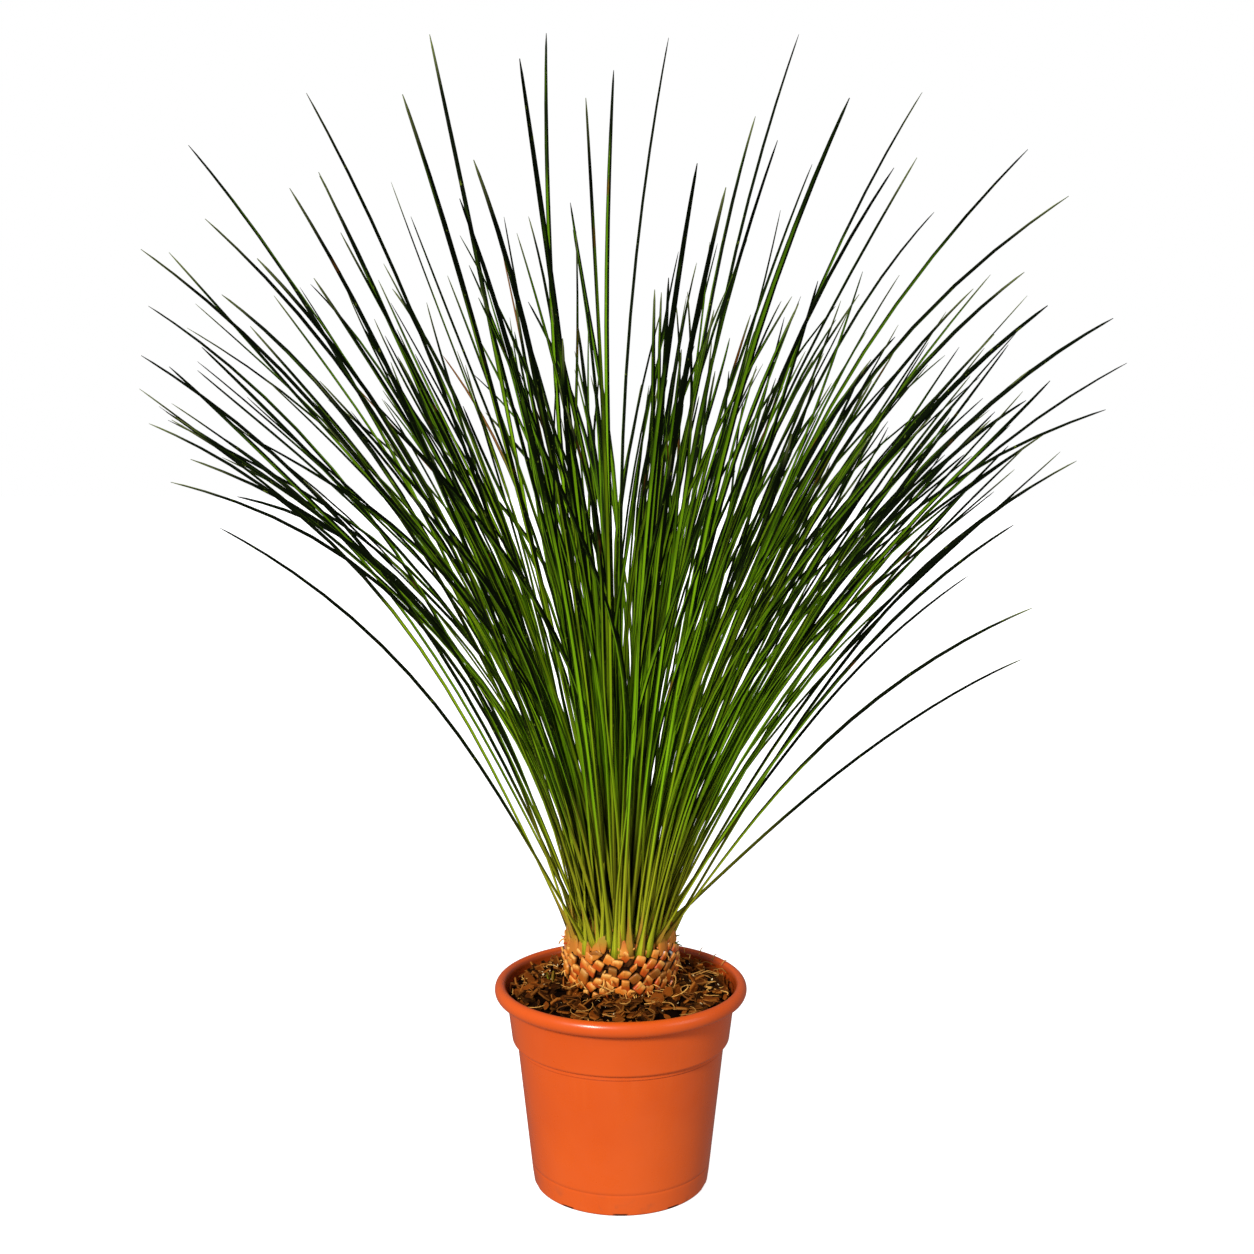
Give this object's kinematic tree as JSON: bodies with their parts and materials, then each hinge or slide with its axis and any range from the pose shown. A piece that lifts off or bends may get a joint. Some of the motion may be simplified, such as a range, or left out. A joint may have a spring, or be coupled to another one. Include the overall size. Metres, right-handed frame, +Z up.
{
  "type": "potted mexican grass tree",
  "caption": "Grass tree with long narrow stiff leaves fanning from a short stubbed trunk, in a round orange pot of bark soil.",
  "frame": {"origin": "centre of the pot's underside, on the floor", "axes": "+Z up along the pot's axis, -Y towards the viewer, +X to the viewer's right"},
  "size_m": [0.9106, 0.8727, 1.0797],
  "materials": {
    "pot_plastic": "satin moulded terracotta-orange plastic with light handling marks",
    "soil": "coarse dark bark pieces with tan coir fibres and white grains",
    "trunk": "overlapping golden tan leaf stubs with dark gaps",
    "leaf": "smooth waxy green with a lighter base and a dark fine tip"
  },
  "bodies": {
    "root": {"pot": "pot_plastic", "potting_soil": "soil", "trunk": "trunk", "leaf_01": "leaf", "leaf_02": "leaf", "leaf_03": "leaf", "leaf_04": "leaf", "leaf_05": "leaf", "leaf_06": "leaf", "leaf_07": "leaf", "leaf_08": "leaf", "leaf_09": "leaf", "leaf_10": "leaf", "leaf_11": "leaf", "leaf_12": "leaf", "leaf_13": "leaf", "leaf_14": "leaf", "leaf_15": "leaf", "leaf_16": "leaf", "leaf_17": "leaf", "leaf_18": "leaf", "leaf_19": "leaf", "leaf_20": "leaf", "leaf_21": "leaf", "leaf_22": "leaf", "leaf_23": "leaf", "leaf_24": "leaf", "leaf_25": "leaf", "leaf_26": "leaf", "leaf_27": "leaf", "leaf_28": "leaf", "leaf_29": "leaf", "leaf_30": "leaf", "leaf_31": "leaf", "leaf_32": "leaf", "leaf_33": "leaf", "leaf_34": "leaf", "leaf_35": "leaf", "leaf_36": "leaf", "leaf_37": "leaf", "leaf_38": "leaf", "leaf_39": "leaf", "leaf_40": "leaf", "leaf_41": "leaf", "leaf_42": "leaf", "leaf_43": "leaf", "leaf_44": "leaf", "leaf_45": "leaf", "leaf_46": "leaf", "leaf_47": "leaf", "leaf_48": "leaf", "leaf_49": "leaf", "leaf_50": "leaf", "leaf_51": "leaf", "leaf_52": "leaf", "leaf_53": "leaf", "leaf_54": "leaf", "leaf_55": "leaf", "leaf_56": "leaf", "leaf_57": "leaf"}
  },
  "joints": []
}
